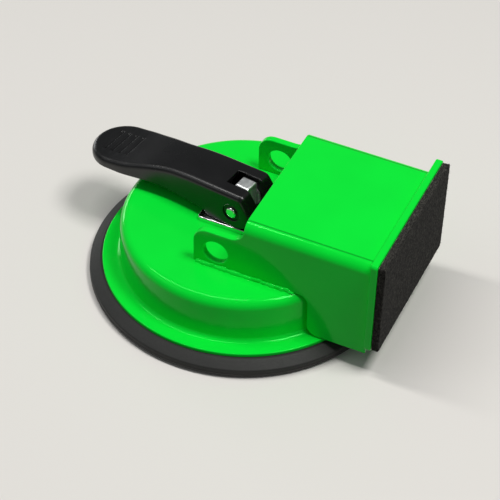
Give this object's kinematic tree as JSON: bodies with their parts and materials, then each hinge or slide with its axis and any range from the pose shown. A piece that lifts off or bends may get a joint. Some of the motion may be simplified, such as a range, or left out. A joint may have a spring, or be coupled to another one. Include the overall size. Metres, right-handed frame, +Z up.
{
  "type": "lever suction lifter",
  "caption": "Round rubber suction cup under a pressed steel hood, with a cam lever and a welded box bracket that carries a felt-faced strike plate.",
  "frame": {"origin": "centre of the rubber pad's sealing face, on the floor", "axes": "+Z up along the stem; +X from the cup towards the strike plate"},
  "size_m": [0.1379, 0.12, 0.0549],
  "materials": {
    "rubber": "matte moulded rubber",
    "green_paint": "gloss powder coat",
    "black_paint": "satin black coat",
    "black_steel": "blackened steel",
    "chrome": "bright chrome plate",
    "bright_steel": "bright rolled steel",
    "steel": "zinc-plated steel",
    "spring_steel": "drawn wire",
    "glue": "double-sided adhesive film",
    "felt": "needled felt"
  },
  "bodies": {
    "base": {"suction_pad": "rubber", "hood": "green_paint", "wear_plate": "chrome", "wear_plate_rivets": "steel", "bracket_channel": "green_paint", "ear_weld_near": "green_paint", "ear_weld_far": "green_paint", "plate_weld": "green_paint", "strike_plate": "green_paint", "strike_adhesive": "glue", "strike_felt": "felt"},
    "swivel": {"guide_bush": "steel", "return_spring": "spring_steel"},
    "stem_unit": {"stem": "bright_steel", "pad_insert_plate": "steel", "spring_seat": "steel"},
    "lever_unit": {"lever": "black_paint", "pivot_pin": "chrome", "cheek_bush_near": "black_steel", "cheek_bush_far": "black_steel", "spacer_washers": "steel"}
  },
  "joints": [
    {"name": "stem_swivel", "type": "hinge", "parent": "base", "child": "swivel", "pos_m": [0, 0, 0.0265], "axis": [0, 0, 1], "range_deg": [-41, 59]},
    {"name": "stem_slide", "type": "slide", "parent": "swivel", "child": "stem_unit", "axis": [0, 0, 1], "range_m": [0, 0.0022], "deforming": ["suction_pad", "return_spring"]},
    {"name": "lever_swing", "type": "hinge", "parent": "stem_unit", "child": "lever_unit", "pos_m": [0, 0, 0.0353], "axis": [0.1564, 0.9877, 0], "range_deg": [0, 90]}
  ],
  "couplings": [
    {"joint": "stem_slide", "follows": "lever_swing", "m_per_rad": 0.0014}
  ]
}
